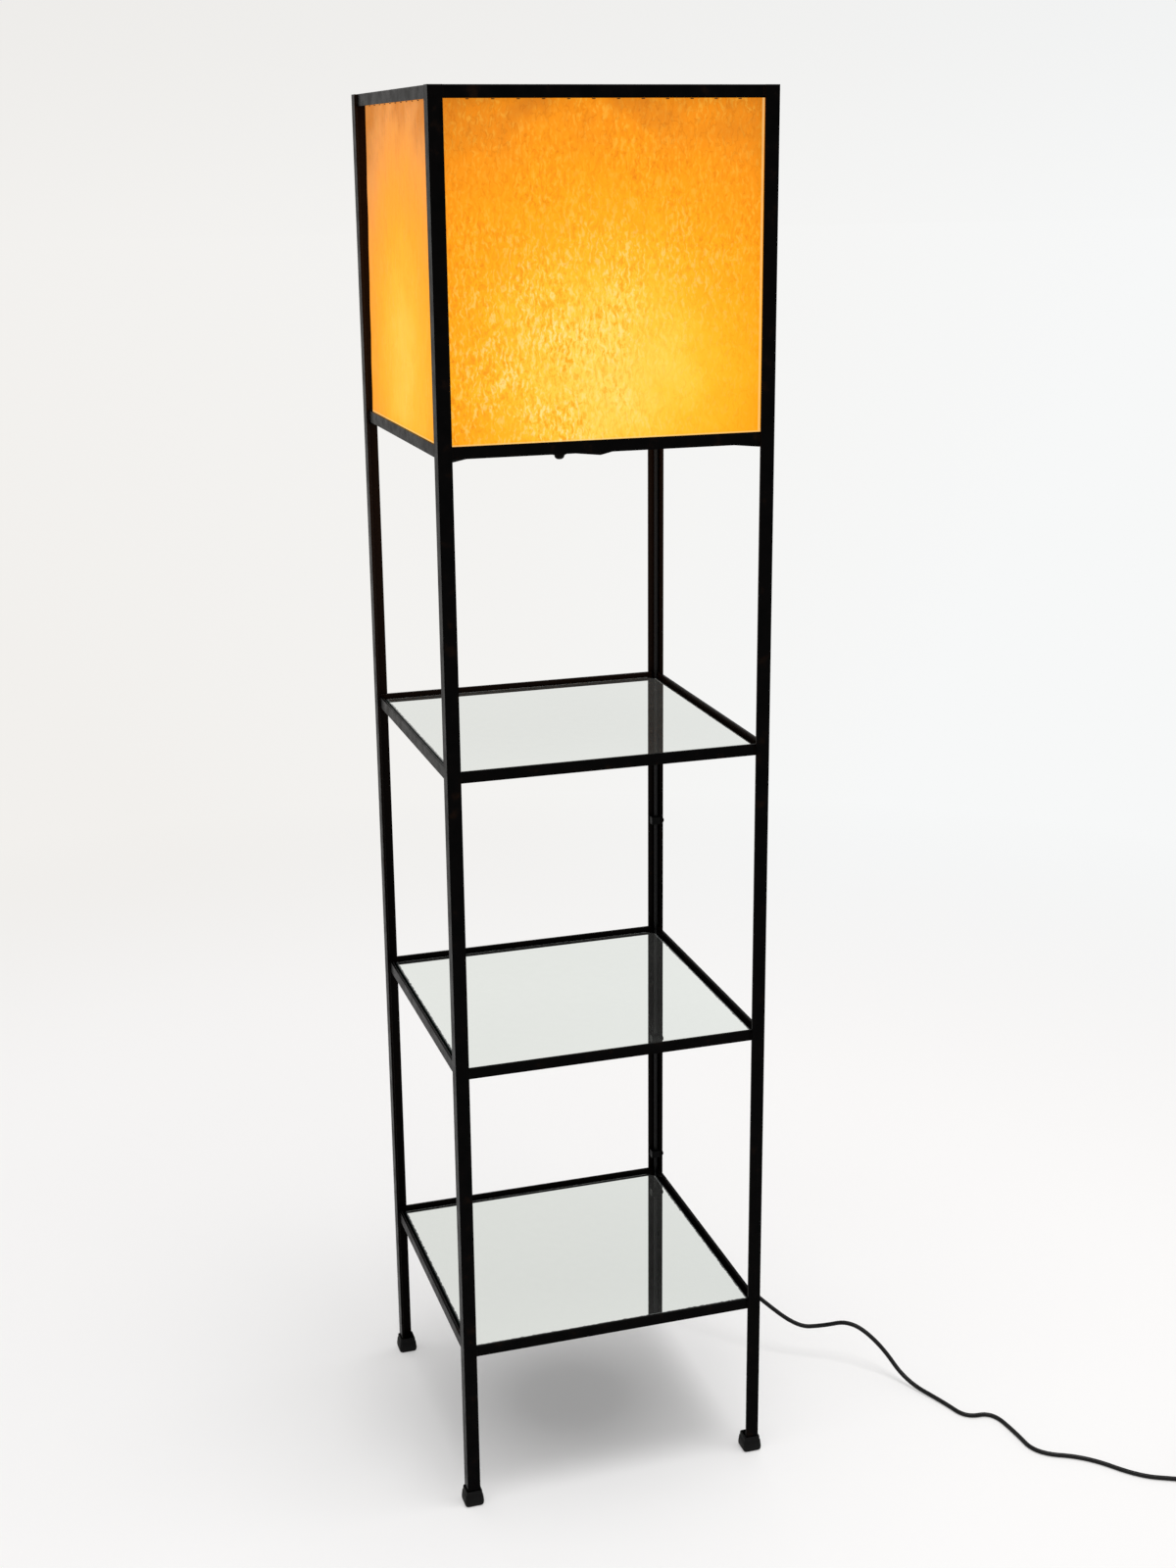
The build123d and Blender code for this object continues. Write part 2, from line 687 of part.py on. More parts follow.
cord_crest = shade_rim_bottom + cord_radius + cord_bar_gap
outlet_level = holder_foot + cord_outlet_height
held_points = [
    on_diagonal(holder_cap_radius - holder_wall, outlet_level),
    on_diagonal(crank_inner - cord_rise_lead, outlet_level),
    on_diagonal(crank_outer - cord_crest_lead, cord_crest),
    on_diagonal(corner_reach, cord_crest),
    on_diagonal(corner_reach, cord_exit_height),
]
with BuildLine() as held_line:
    FilletPolyline(*held_points, radius=[cord_rise_radius, cord_rise_radius, cord_bend_radius])
held_cord = cord_tube(held_line.line)
save(held_cord, "cord_run")

# --- cord clips ------------------------------------------------------------
corner_x = half_width - iron_thickness
corner_y = half_depth - iron_thickness
clip_bore = cord_radius + clip_slip


def corner_clip(height):
    """L-shaped saddle that holds the cord in the post's inside corner."""
    with BuildPart() as saddle:
        with BuildSketch(Plane.XY.offset(height - clip_height / 2)):
            with Locations((corner_x, corner_y)):
                Rectangle(clip_reach, clip_reach, align=(Align.MAX, Align.MAX))
            fillet(vertices().sort_by(lambda v: v.X + v.Y)[0], clip_fillet)
            with Locations((cord_corner.X, cord_corner.Y)):
                Circle(clip_bore, mode=Mode.SUBTRACT)
            with Locations((corner_x, corner_y)):
                Rectangle(
                    corner_x - cord_corner.X + clip_bore, corner_y - cord_corner.Y,
                    mode=Mode.SUBTRACT, align=(Align.MAX, Align.MAX),
                )
                Rectangle(
                    corner_x - cord_corner.X, corner_y - cord_corner.Y + clip_bore,
                    mode=Mode.SUBTRACT, align=(Align.MAX, Align.MAX),
                )
        extrude(amount=clip_height)
        with Locations(Plane((corner_x, clip_axis_y, height), z_dir=(1, 0, 0))):
            Hole(clip_screw_radius, depth=clip_screw_depth)
    return saddle.part


def corner_screw(height):
    """Round-headed screw through the post's right leg into a clip."""
    head_plane = Plane((half_width, clip_axis_y, height), z_dir=(1, 0, 0))
    with BuildPart() as screw:
        with BuildSketch(head_plane):
            Circle(clip_head_radius)
        extrude(amount=clip_head_height)
        fillet(screw.faces().sort_by(Axis.X)[-1].edges(), clip_head_fillet)
        with BuildSketch(head_plane):
            Circle(clip_screw_radius)
        extrude(amount=-iron_thickness - clip_screw_depth)
    return screw.part


with BuildPart() as clips:
    for height in clip_heights:
        add(corner_clip(height))
save(clips.part, "cord_clips")

with BuildPart() as screws:
    for height in clip_heights:
        add(corner_screw(height))
save(screws.part, "clip_screws")

# --- cord on the floor -----------------------------------------------------
coil_start = Vector(*coil_place, cord_radius + tie_thickness + tie_gap)
coil_heading = Vector(*coil_aim, 0).normalized()
exit_point = Vector(cord_corner.X, cord_corner.Y, cord_exit_height)
free_points = [exit_point, exit_point - Vector(0, 0, exit_drop)]
free_points += [exit_point + Vector(*bend) for bend in free_bends]
free_points += [Vector(x, y, cord_radius) for x, y in floor_bends]
free_points += [coil_start - coil_heading * last_run, coil_start]


def bend_radii(points):
    """Radius of each bend: a share of the shorter run beside it over tan(half the turn)."""
    radii = []
    for i in range(1, len(points) - 1):
        before = points[i] - points[i - 1]
        after = points[i + 1] - points[i]
        half_turn = radians(before.get_angle(after)) / 2
        trimmed = bend_share * min(before.length, after.length)
        if i == 1:
            trimmed = first_share * before.length
        radii.append(trimmed / tan(half_turn))
    return radii


free_radii = bend_radii(free_points)
print("free cord bends, mm:", [round(r, 1) for r in free_radii])
with BuildLine() as free_line:
    FilletPolyline(*free_points, radius=free_radii)
free_cord = cord_tube(free_line.line)
free_length = free_line.wire().length
section_area = pi * cord_radius**2
print("free cord length, mm:", round(free_length, 1))
print("volume over section times length:", round(free_cord.volume / section_area / free_length, 4))
save(free_cord, "cord_free")

# --- put-away coil ---------------------------------------------------------
coil_plane = Plane(origin=coil_start, x_dir=coil_heading, z_dir=(0, 0, 1))
quarter_turns = 4
coil_step = coil_pitch / quarter_turns


def turned_by(angle, radius):
    """Local vector of a length at an angle in the coil's plane."""
    return Vector(radius * cos(radians(angle)), radius * sin(radians(angle)), 0)


def coil_path():
    """Quarter-turn arcs in, a tilted half turn up to the second layer, quarter turns out."""
    here = Vector(cord_diameter, 0, 0)
    pieces = [(Vector(0, 0, 0), None, here)]
    angle = -90
    quarter_radii = [
        coil_inner_radius + coil_step * (coil_quarters_in - i) for i in range(coil_quarters_in)
    ]
    for radius in quarter_radii:
        middle = here - turned_by(angle, radius)
        there = middle + turned_by(angle + 90, radius)
        pieces.append((here, middle + turned_by(angle + 45, radius), there))
        here = there
        angle += 90
    middle = here - turned_by(angle, coil_inner_radius) + Vector(0, 0, coil_layer / 2)
    tilted_radius = hypot(coil_inner_radius, coil_layer / 2)
    there = middle + middle - here
    pieces.append((here, middle + turned_by(angle + 90, tilted_radius), there))
    here = there
    angle += 180
    for i in range(coil_quarters_out):
        radius = coil_inner_radius + coil_step * (i + 1)
        middle = here - turned_by(angle, radius)
        there = middle + turned_by(angle + 90, radius)
        pieces.append((here, middle + turned_by(angle + 45, radius), there))
        here = there
        angle += 90
    pieces.append((here, None, here + turned_by(angle + 90, coil_tail)))
    return pieces, angle + 90


coil_pieces, plug_angle = coil_path()
with BuildLine() as coil_line:
    for start, through, end in coil_pieces:
        placed = [coil_plane.from_local_coords(p) for p in (start, through, end) if p is not None]
        if through is None:
            Line(*placed)
        else:
            ThreePointArc(*placed)
coil_cord = cord_tube(coil_line.line)
coil_wire = coil_line.wire()
coil_length = coil_wire.length
print("coil length, mm:", round(coil_length, 1))
coil_ratio = coil_cord.volume / section_area / coil_length
print("coil volume over section times length:", round(coil_ratio, 4))

sample_count = int(coil_length / sample_step)
coil_samples = [coil_wire.position_at(i / sample_count) for i in range(sample_count + 1)]
apart = int(coil_inner_radius * 2 / sample_step)
closest = min(
    (coil_samples[i] - coil_samples[j]).length
    for i in range(len(coil_samples)) for j in range(i + apart, len(coil_samples))
)
print("least gap of the coil to itself, mm:", round(closest - cord_diameter, 2))
save(coil_cord, "cord_coil")

coil_middle = Vector(cord_diameter, coil_inner_radius + coil_step * coil_quarters_in, 0)
tie_direction = turned_by(tie_angle, 1)
tie_inner = coil_inner_radius - cord_radius - tie_margin
tie_outer = coil_inner_radius + coil_step * coil_quarters_out + cord_radius + tie_margin
tie_reach = (tie_inner + tie_outer) / 2
tie_middle = coil_plane.from_local_coords(coil_middle + tie_direction * tie_reach)
tie_out = (tie_middle - coil_plane.from_local_coords(coil_middle)).normalized()
tie_height = coil_layer + cord_diameter + 2 * tie_gap + 2 * tie_thickness
tie_origin = Vector(tie_middle.X, tie_middle.Y, tie_height / 2)
tie_plane = Plane(origin=tie_origin, x_dir=tie_out, z_dir=tie_out.cross(Vector(0, 0, 1)))
with BuildPart() as tie:
    with BuildSketch(tie_plane):
        RectangleRounded(
            tie_outer - tie_inner + 2 * tie_thickness, tie_height, tie_corner + tie_thickness,
        )
        RectangleRounded(
            tie_outer - tie_inner, tie_height - 2 * tie_thickness, tie_corner, mode=Mode.SUBTRACT,
        )
    extrude(amount=tie_width / 2, both=True)
save(tie.part, "coil_tie")

# --- plug ------------------------------------------------------------------
plug_start = coil_plane.from_local_coords(coil_pieces[-1][2])
plug_direction = (plug_start - coil_plane.from_local_coords(coil_pieces[-1][0])).normalized()
plug_plane = Plane(
    origin=plug_start, x_dir=plug_direction.cross(Vector(0, 0, 1)), z_dir=plug_direction,
)
plug_thickness = 2 * plug_start.Z
with BuildPart() as plug:
    with BuildSketch(plug_plane):
        Circle(plug_sleeve_start)
    with BuildSketch(plug_plane.offset(plug_sleeve_length)):
        Circle(plug_sleeve_end)
    loft()
    with BuildSketch(plug_plane.offset(plug_sleeve_length)):
        RectangleRounded(plug_width, plug_thickness, plug_corner_radius)
    extrude(amount=plug_length)
    nose = plug.faces().sort_by(lambda f: plug_plane.to_local_coords(f.center()).Z)[-1]
    chamfer(nose.edges(), plug_edge_chamfer)
    for i in range(plug_ribs):
        share = (i + 1) / (plug_ribs + 1)
        rib_radius = plug_sleeve_start + (plug_sleeve_end - plug_sleeve_start) * share
        with BuildSketch(plug_plane.offset(plug_sleeve_length * share)):
            Circle(rib_radius + plug_rib_depth)
            Circle(rib_radius - plug_rib_depth, mode=Mode.SUBTRACT)
        extrude(amount=plug_rib_width, mode=Mode.SUBTRACT)
save(plug.part, "plug_body")

nose_level = plug_sleeve_length + plug_length
with BuildPart() as blades:
    for hand in (-1, 1):
        blade_foot = plug_plane.from_local_coords(Vector(hand * blade_spacing / 2, 0, nose_level))
        blade_plane = Plane(origin=blade_foot, x_dir=plug_plane.x_dir, z_dir=plug_direction)
        with BuildSketch(blade_plane):
            Rectangle(blade_thickness, blade_width)
        extrude(amount=blade_length)
        hole_origin = blade_plane.from_local_coords(Vector(0, 0, blade_length - blade_hole_inset))
        with BuildSketch(Plane(origin=hole_origin, x_dir=(0, 0, 1), z_dir=plug_plane.x_dir)):
            Circle(blade_hole_radius)
        extrude(amount=blade_thickness, both=True, mode=Mode.SUBTRACT)
save(blades.part, "plug_blades")
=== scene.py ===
# %% [markdown]
# # A floor lamp with mirror shelves
# Four angle-iron posts carry a light box of amber fibreglass and three rims that hold loose
# mirror panes. The solids arrive already modelled and placed, in metres, with +Z up and the
# front towards -Y. This script gives them their finishes, replaces the loose mains cord and the
# rubber tips with smoother ones, and sets the camera, the floor and the light.

# %% Load the frame
import math

import bmesh
import bpy
from mathutils import Euler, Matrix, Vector


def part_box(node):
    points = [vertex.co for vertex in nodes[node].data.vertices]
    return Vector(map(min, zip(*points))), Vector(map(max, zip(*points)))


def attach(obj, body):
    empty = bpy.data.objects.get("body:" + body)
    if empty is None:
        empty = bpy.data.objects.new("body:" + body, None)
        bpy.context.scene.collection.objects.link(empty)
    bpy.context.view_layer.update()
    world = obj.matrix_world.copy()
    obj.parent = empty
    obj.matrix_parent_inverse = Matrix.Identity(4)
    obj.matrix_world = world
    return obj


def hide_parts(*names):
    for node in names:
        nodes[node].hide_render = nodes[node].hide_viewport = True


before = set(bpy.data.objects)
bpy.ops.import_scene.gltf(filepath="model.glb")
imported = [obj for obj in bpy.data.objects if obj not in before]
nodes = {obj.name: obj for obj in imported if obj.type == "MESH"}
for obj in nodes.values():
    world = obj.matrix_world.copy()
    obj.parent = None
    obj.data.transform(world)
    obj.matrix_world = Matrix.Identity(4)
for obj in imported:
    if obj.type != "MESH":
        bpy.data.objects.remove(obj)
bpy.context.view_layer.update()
scene = bpy.context.scene
scene.view_settings.view_transform = "Standard"
MM = 0.001

# %% [markdown]
# ## The camera
# The photograph looks slightly down on the lamp from its front left. The place, the turn and the
# lens come from matching the corners of the rims.

# %% The camera
camera_place = (-0.6654, -2.2205, 1.5004)
camera_turn = [math.radians(angle) for angle in (73.2899, 0.5013, -17.5285)]
camera_data = bpy.data.cameras.new("camera")
camera_data.lens = 48.27
camera_data.sensor_width = 36.0
camera = bpy.data.objects.new("camera", camera_data)
camera.location = camera_place
camera.rotation_euler = Euler(camera_turn)
scene.collection.objects.link(camera)
scene.camera = camera


# %% [markdown]
# ## Helpers
# A hex colour is what a colour picker shows; Blender's sockets want the linear light behind
# it, so one function turns the first into the second. One more adds a node with its settings
# and its inputs, where an input is either a value or the socket that feeds it.

# %% Colour and node helpers
def linear(hex_colour):
    """Linear RGBA of an sRGB hex colour."""
    parts = [int(hex_colour[i:i + 2], 16) / 255 for i in (1, 3, 5)]
    curve = [p / 12.92 if p <= 0.04045 else ((p + 0.055) / 1.055) ** 2.4 for p in parts]
    return (*curve, 1.0)


def add(tree, kind, inputs=None, **settings):
    """Adds a node to a material's tree, with its settings, input values and links."""
    node = tree.nodes.new(kind)
    for name, value in settings.items():
        setattr(node, name, value)
    for key, value in (inputs or {}).items():
        if isinstance(value, bpy.types.NodeSocket):
            tree.links.new(value, node.inputs[key])
        else:
            node.inputs[key].default_value = value
    return node


def ramp(tree, factor, stops):
    """Colour ramp fed by a socket; stops are (position, colour) pairs."""
    node = add(tree, "ShaderNodeValToRGB", {"Fac": factor})
    points = node.color_ramp.elements
    while len(points) < len(stops):
        points.new(1.0)
    for point, (position, colour) in zip(points, stops):
        point.position = position
        point.color = colour
    return node.outputs["Color"]


def grey(level):
    """Plain grey for ramps that carry a number."""
    return (level, level, level, 1.0)


def per(size_mm):
    """Noise scale, per metre, of a pattern whose features are that many millimetres wide."""
    return 1000.0 / size_mm


def finish(name, hex_colour, roughness, **sockets):
    """A new material with its own shader; returns the material, its tree and the shader."""
    material = bpy.data.materials.new(name)
    material.use_nodes = True
    tree = material.node_tree
    shader = tree.nodes["Principled BSDF"]
    shader.inputs["Base Color"].default_value = linear(hex_colour)
    shader.inputs["Roughness"].default_value = roughness
    for socket, value in sockets.items():
        shader.inputs[socket.replace("_", " ")].default_value = value
    return material, tree, shader


def object_point(tree, stretch=(1.0, 1.0, 1.0)):
    """Object coordinates in metres, stretched for a pattern with a grain."""
    place = add(tree, "ShaderNodeTexCoord")
    mapped = add(tree, "ShaderNodeMapping", {"Vector": place.outputs["Object"], "Scale": stretch})
    return mapped.outputs["Vector"]


def cloud(tree, size_mm, detail=3.0, vector=None, roughness=0.55):
    """Noise socket with features of a size in millimetres."""
    inputs = {"Scale": per(size_mm), "Detail": detail, "Roughness": roughness}
    inputs["Vector"] = vector if vector is not None else object_point(tree)
    return add(tree, "ShaderNodeTexNoise", inputs).outputs["Fac"]


def math_of(tree, operation, a, b=0.0):
    """Result of one sum on two sockets or numbers."""
    return add(tree, "ShaderNodeMath", {0: a, 1: b}, operation=operation).outputs[0]


def between(tree, value, low, high, to_low=0.0, to_high=1.0):
    """Value moved from one range to another, with a soft start and end."""
    return add(tree, "ShaderNodeMapRange", {
        "Value": value, "From Min": low, "From Max": high, "To Min": to_low, "To Max": to_high,
    }, interpolation_type="SMOOTHSTEP").outputs["Result"]


def blended(tree, factor, under, over):
    """Colour that goes from under to over as the factor goes from 0 to 1."""
    mixed = add(tree, "ShaderNodeMix", data_type="RGBA")
    for index, value in ((0, factor), (6, under), (7, over)):
        if isinstance(value, bpy.types.NodeSocket):
            tree.links.new(value, mixed.inputs[index])
        else:
            mixed.inputs[index].default_value = value
    return mixed.outputs[2]


def set_bump(tree, shader, height, depth_mm, strength=1.0):
    """Feeds a height pattern, whose full swing is a depth in millimetres, to a shader."""
    bump = add(tree, "ShaderNodeBump", {
        "Height": height, "Distance": depth_mm * MM, "Strength": strength,
    })
    tree.links.new(bump.outputs["Normal"], shader.inputs["Normal"])


def paint(material, *names):
    """Gives a finish to the solids of those names."""
    for name in names:
        for slot in nodes[name].material_slots:
            slot.material = material
    print(material.name, "on", len(names), "solids")


def names_with(*starts):
    """Names of the solids that start in one of these ways."""
    return [name for name in nodes if name.startswith(starts)]


# %% [markdown]
# ## The mains cord
# A mains cord is a fixed length of soft flex. It leaves the lowest rim pointing down, falls to
# the floor behind the lamp, wanders off to the right in the loose bends of a lead that was
# once coiled, and the rest of it is put away in a small tied coil with its plug. A NURBS curve
# through a short list of control points bends as flex does; typed runs and arcs would look
# like bent wire. The coil's control points come from a loop, one quarter turn at a time.

# %% The cord's route
cord_diameter = 5.5 * MM
cord_radius = cord_diameter / 2
cord_low, cord_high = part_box("cord_run")
cord_exit = Vector((cord_high[0] - cord_radius, cord_high[1] - cord_radius, cord_low[2]))
exit_drop = 18.5
falling_bends = [
    (-3.3, -26.2, -31.4), (16.2, -47.3, -41.0), (40.0, -76.0, -66.5), (66.25, -110.75, -98.5),
    (93.25, -142.75, -122.0), (132.25, -176.75, -151.5), (161.25, -189.75, -148.0),
    (191.25, -212.25, -133.0), (218.25, -245.75, -153.5), (236.25, -283.75, -187.5),
]
floor_bends = [
    (436.0, -166.0), (447.0, -203.0), (482.0, -204.0), (489.0, -250.0), (491.0, -297.0),
    (545.0, -322.0), (584.0, -375.0), (624.0, -394.0),
]
coil_start = Vector((667.3, -419.2, 3.4)) * MM
coil_heading = Vector((0.859, -0.512, 0.0)).normalized()
last_run = 25.0

route = [cord_exit, cord_exit - Vector((0, 0, exit_drop)) * MM]
route += [cord_exit + Vector(bend) * MM for bend in falling_bends]
route += [Vector((x * MM, y * MM, cord_radius)) for x, y in floor_bends]
route += [coil_start - coil_heading * last_run * MM, coil_start]

# %% The coil's turns
coil_inner_radius = 27.0
coil_step = 6.2 / 4             # each quarter turn is this much wider than the last
coil_layer = 6.0                # height of the second layer over the first
quarters_in = 7
quarters_out = 8
coil_tail = 14.0
points_per_quarter = 3
# A spline of order 3 cuts inside its control points, so these stand this much further out.
stand_off = 1 / 0.9665


def from_coil(x, y, z):
    """Point of the coil's own plane, in millimetres, placed on the floor."""
    across = Vector((-coil_heading.y, coil_heading.x, 0.0))
    return coil_start + (coil_heading * x + across * y + Vector((0, 0, z))) * MM


coil_points = [(cord_diameter / MM, 0.0, 0.0)]


def turn_through(start, start_angle, radius, sweep, count, rise_from, rise_to):
    """Control points of one arc of the coil, and the arc's end."""
    aim = math.radians(start_angle)
    middle = start - Vector((math.cos(aim), math.sin(aim))) * radius
    for i in range(count):
        part = (i + 0.5) / count
        way = math.radians(start_angle + sweep * part)
        height = rise_from + (rise_to - rise_from) * (1 - math.cos(math.pi * part)) / 2
        spot = middle + Vector((math.cos(way), math.sin(way))) * radius * stand_off
        coil_points.append((spot.x, spot.y, height))
    end = math.radians(start_angle + sweep)
    return middle + Vector((math.cos(end), math.sin(end))) * radius


here = Vector((cord_diameter / MM, 0.0))
angle = -90.0
for i in range(quarters_in):
    wide = coil_inner_radius + coil_step * (quarters_in - i)
    here = turn_through(here, angle, wide, 90.0, points_per_quarter, 0.0, 0.0)
    angle += 90.0
here = turn_through(here, angle, coil_inner_radius, 180.0, 2 * points_per_quarter, 0.0, coil_layer)
angle += 180.0
for i in range(quarters_out):
    wide = coil_inner_radius + coil_step * (i + 1)
    here = turn_through(here, angle, wide, 90.0, points_per_quarter, coil_layer, coil_layer)
    angle += 90.0
tail_aim = math.radians(angle + 90.0)
tail_end = here + Vector((math.cos(tail_aim), math.sin(tail_aim))) * coil_tail
coil_points.append((here.x, here.y, coil_layer))
coil_points.append((tail_end.x, tail_end.y, coil_layer))
route += [from_coil(*point) for point in coil_points]

# %% The cord's curve
cord_curve = bpy.data.curves.new("mains_cord", "CURVE")
cord_curve.dimensions = "3D"
cord_curve.bevel_depth = 1.0    # times each point's own radius, so the curve's box is its real one
cord_curve.bevel_resolution = 4
cord_curve.resolution_u = 8
cord_curve.use_fill_caps = True
cord_spline = cord_curve.splines.new("NURBS")
cord_spline.points.add(len(route) - 1)
for control, point in zip(cord_spline.points, route):
    control.co = (*point, 1.0)
    control.radius = cord_radius
cord_spline.order_u = 3
cord_spline.use_endpoint_u = True
cord = bpy.data.objects.new("mains_cord", cord_curve)
scene.collection.objects.link(cord)
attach(cord, "frame")
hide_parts("cord_free", "cord_coil")
print("cord control points:", len(route))

# %% [markdown]
# ## Floor and backdrop
# The photograph has a pale seamless sweep. A wide floor takes the lamp's shadow near the middle,
# but from a few centimetres out the backdrop's pale tone is painted over part of its own shading,
# which lightens the shadow's edges, and further out the floor fades wholly into the same pale tone
# as the world behind it, so that no horizon shows from any side.

# %% The pale tone
pale_tones = [(-0.1, "#F2F0ED"), (0.25, "#F4F3F1"), (0.55, "#F7F8F8")]   # left to right


def pale_tone(tree, direction):
    """The sweep's tone: a little warm towards the left and a little cool towards the right."""
    level = add(tree, "ShaderNodeVectorMath", {0: direction}, operation="NORMALIZE")
    across = add(tree, "ShaderNodeSeparateXYZ", {0: level.outputs[0]}).outputs["X"]
    low, high = pale_tones[0][0], pale_tones[-1][0]
    place = add(tree, "ShaderNodeMapRange", {"Value": across, "From Min": low, "From Max": high})
    return ramp(tree, place.outputs["Result"], [
        ((turn - low) / (high - low), linear(colour)) for turn, colour in pale_tones
    ])


# %% The floor's sheet
floor_reach = 40.0
floor_mesh = bpy.data.meshes.new("floor")
floor_mesh.from_pydata(
    [(-floor_reach, -floor_reach, 0), (floor_reach, -floor_reach, 0),
     (floor_reach, floor_reach, 0), (-floor_reach, floor_reach, 0)],
    [], [(0, 1, 2, 3)],
)
floor = bpy.data.objects.new("floor", floor_mesh)
scene.collection.objects.link(floor)
print("floor:", 2 * floor_reach, "m wide")

# %% Seamless paper
# How much of the backdrop's tone covers the floor's own shading, by metres from the middle.
shading_fade = [(0.06, 0.0), (0.30, 0.48), (1.30, 0.55), (2.60, 1.0)]
wall_starts, wall_full = 1.0, 2.4       # where, in metres out, the floor takes the wall's tone

seamless, tree, shader = finish("seamless_paper", "#F6F5F5", 0.9, Specular_IOR_Level=0.1)
place = add(tree, "ShaderNodeTexCoord")
distance = add(tree, "ShaderNodeVectorMath", {0: place.outputs["Object"]}, operation="LENGTH")
furthest = shading_fade[-1][0]
outward = add(tree, "ShaderNodeMapRange", {
    "Value": distance.outputs["Value"], "From Max": furthest,
})
pale_cover = ramp(tree, outward.outputs["Result"], [
    (reach / furthest, grey(level)) for reach, level in shading_fade
])
to_wall = between(tree, distance.outputs["Value"], wall_starts, wall_full)
tone = blended(tree, to_wall, linear("#F8F7F6"), pale_tone(tree, place.outputs["Object"]))
glow = add(tree, "ShaderNodeEmission", {"Color": tone})
rays = add(tree, "ShaderNodeLightPath")
seen = math_of(tree, "MAXIMUM", rays.outputs["Is Camera Ray"], rays.outputs["Is Glossy Ray"])
seen = math_of(tree, "MAXIMUM", seen, rays.outputs["Is Transmission Ray"])
share = math_of(tree, "MULTIPLY", seen, pale_cover)
both = add(tree, "ShaderNodeMixShader", {
    0: share, 1: shader.outputs["BSDF"], 2: glow.outputs["Emission"],
})
tree.links.new(both.outputs[0], tree.nodes["Material Output"].inputs["Surface"])
floor_mesh.materials.append(seamless)
print("shading fades out by", furthest, "m")

# %% [markdown]
# ## Light
# One big soft lamp hangs over the front right, and the rest is the even light of a pale room.
# The shelves are opaque mirrors, so the overhead lamp leaves a soft dark patch on the floor
# under the lowest one. What gloss sees is the room too: pale behind and beside the lamp, dimmer
# behind the camera.

# %% The world
world = bpy.data.worlds.new("pale_room")
world.use_nodes = True
scene.world = world
tree = world.node_tree
ambient_level = 0.66
front_level = 0.62              # what gloss sees of the room behind the camera
top_level = 0.955               # the backdrop above the horizon, where the light falls off
background = tree.nodes["Background"]
background.inputs["Color"].default_value = linear("#FFFFFF")
background.inputs["Strength"].default_value = ambient_level
rays = add(tree, "ShaderNodeLightPath")
aim = add(tree, "ShaderNodeTexCoord")
aim_parts = add(tree, "ShaderNodeSeparateXYZ", {0: aim.outputs["Generated"]})
dark_front = between(tree, aim_parts.outputs["Y"], -0.75, -0.1, front_level, 1.0)
wall_level = ramp(tree, aim_parts.outputs["Z"], [
    (0.0, grey(1.0)), (0.26, grey(0.93)), (0.38, grey(1.0)), (0.50, grey(0.89)), (0.85, grey(1.0)),
])
gloss_level = math_of(tree, "MULTIPLY", dark_front, wall_level)
sweep = pale_tone(tree, aim.outputs["Generated"])
gloss_sees = add(tree, "ShaderNodeBackground", {"Color": sweep, "Strength": gloss_level})
top_falls_off = between(tree, aim_parts.outputs["Z"], -0.06, 0.08, 1.0, top_level)
camera_sees = add(tree, "ShaderNodeBackground", {"Color": sweep, "Strength": top_falls_off})
glossy = math_of(tree, "MAXIMUM", rays.outputs["Is Glossy Ray"],
                 rays.outputs["Is Transmission Ray"])
lit = add(tree, "ShaderNodeMixShader", {
    0: glossy, 1: background.outputs[0], 2: gloss_sees.outputs[0],
})
whole = add(tree, "ShaderNodeMixShader", {
    0: rays.outputs["Is Camera Ray"], 1: lit.outputs[0], 2: camera_sees.outputs[0],
})
tree.links.new(whole.outputs[0], tree.nodes["World Output"].inputs["Surface"])
print("ambient level:", ambient_level)

# %% The overhead lamp
overhead_place = Vector((0.25, -0.4, 3.3))
overhead_target = Vector((0, 0, 0.2))
overhead_data = bpy.data.lights.new("overhead_softbox", "AREA")
overhead_data.energy = 56.0
overhead_data.size = 1.4
overhead = bpy.data.objects.new("overhead_softbox", overhead_data)
overhead.location = overhead_place
overhead.rotation_euler = (overhead_target - overhead_place).to_track_quat("-Z", "Y").to_euler()
scene.collection.objects.link(overhead)
print("overhead lamp:", overhead_data.energy, "W")

# %% [markdown]
# ## Black enamelled angle iron
# The frame is hot-rolled angle iron, brushed with a thin coat of black enamel. Hot rolling
# leaves a faintly rolling surface, the brush leaves fine streaks, and handling has rubbed the
# coat until it has a low satin gloss. To the eye that gives near-black faces whose gloss shows
# only where they are seen along their length.

# %% Black enamel
mottle_mm, streak_mm, rolled_mm = 18.0, 1.2, 7.0
streak_grain = (1.0, 1.0, 0.06)         # brushed along the posts
lamp_glow_from, lamp_glow_to = 0.6, 1.25    # painted amber light from the light box grows between these heights

enamel, tree, shader = finish("black_enamel_on_iron", "#060505", 0.30, Specular_IOR_Level=0.022)
mottle = cloud(tree, mottle_mm, 4.0)
tone = ramp(tree, mottle, [
    (0.35, linear("#020202")), (0.6, linear("#050404")), (0.78, linear("#170D07")),
])
# Painted light: the light box's amber glow is painted on the inner faces as a brown tint, most of
# all beside the light box.
place = add(tree, "ShaderNodeTexCoord")
inwards = add(tree, "ShaderNodeVectorMath", {0: place.outputs["Object"], 1: (-1, -1, 0)},
              operation="MULTIPLY")
facing_in = add(tree, "ShaderNodeVectorMath", {0: place.outputs["Normal"], 1: inwards.outputs[0]},
                operation="DOT_PRODUCT").outputs["Value"]
post_height = add(tree, "ShaderNodeSeparateXYZ", {0: place.outputs["Object"]}).outputs["Z"]
near_light_box = between(tree, post_height, lamp_glow_from, lamp_glow_to, 0.1, 0.9)
painted_glow_tint = math_of(tree, "MULTIPLY", between(tree, facing_in, 0.02, 0.06), near_light_box)
tone = blended(tree, painted_glow_tint, tone, linear("#1D110A"))
tree.links.new(tone, shader.inputs["Base Color"])
rubbed = between(tree, mottle, 0.3, 0.75, 0.24, 0.38)
tree.links.new(rubbed, shader.inputs["Roughness"])
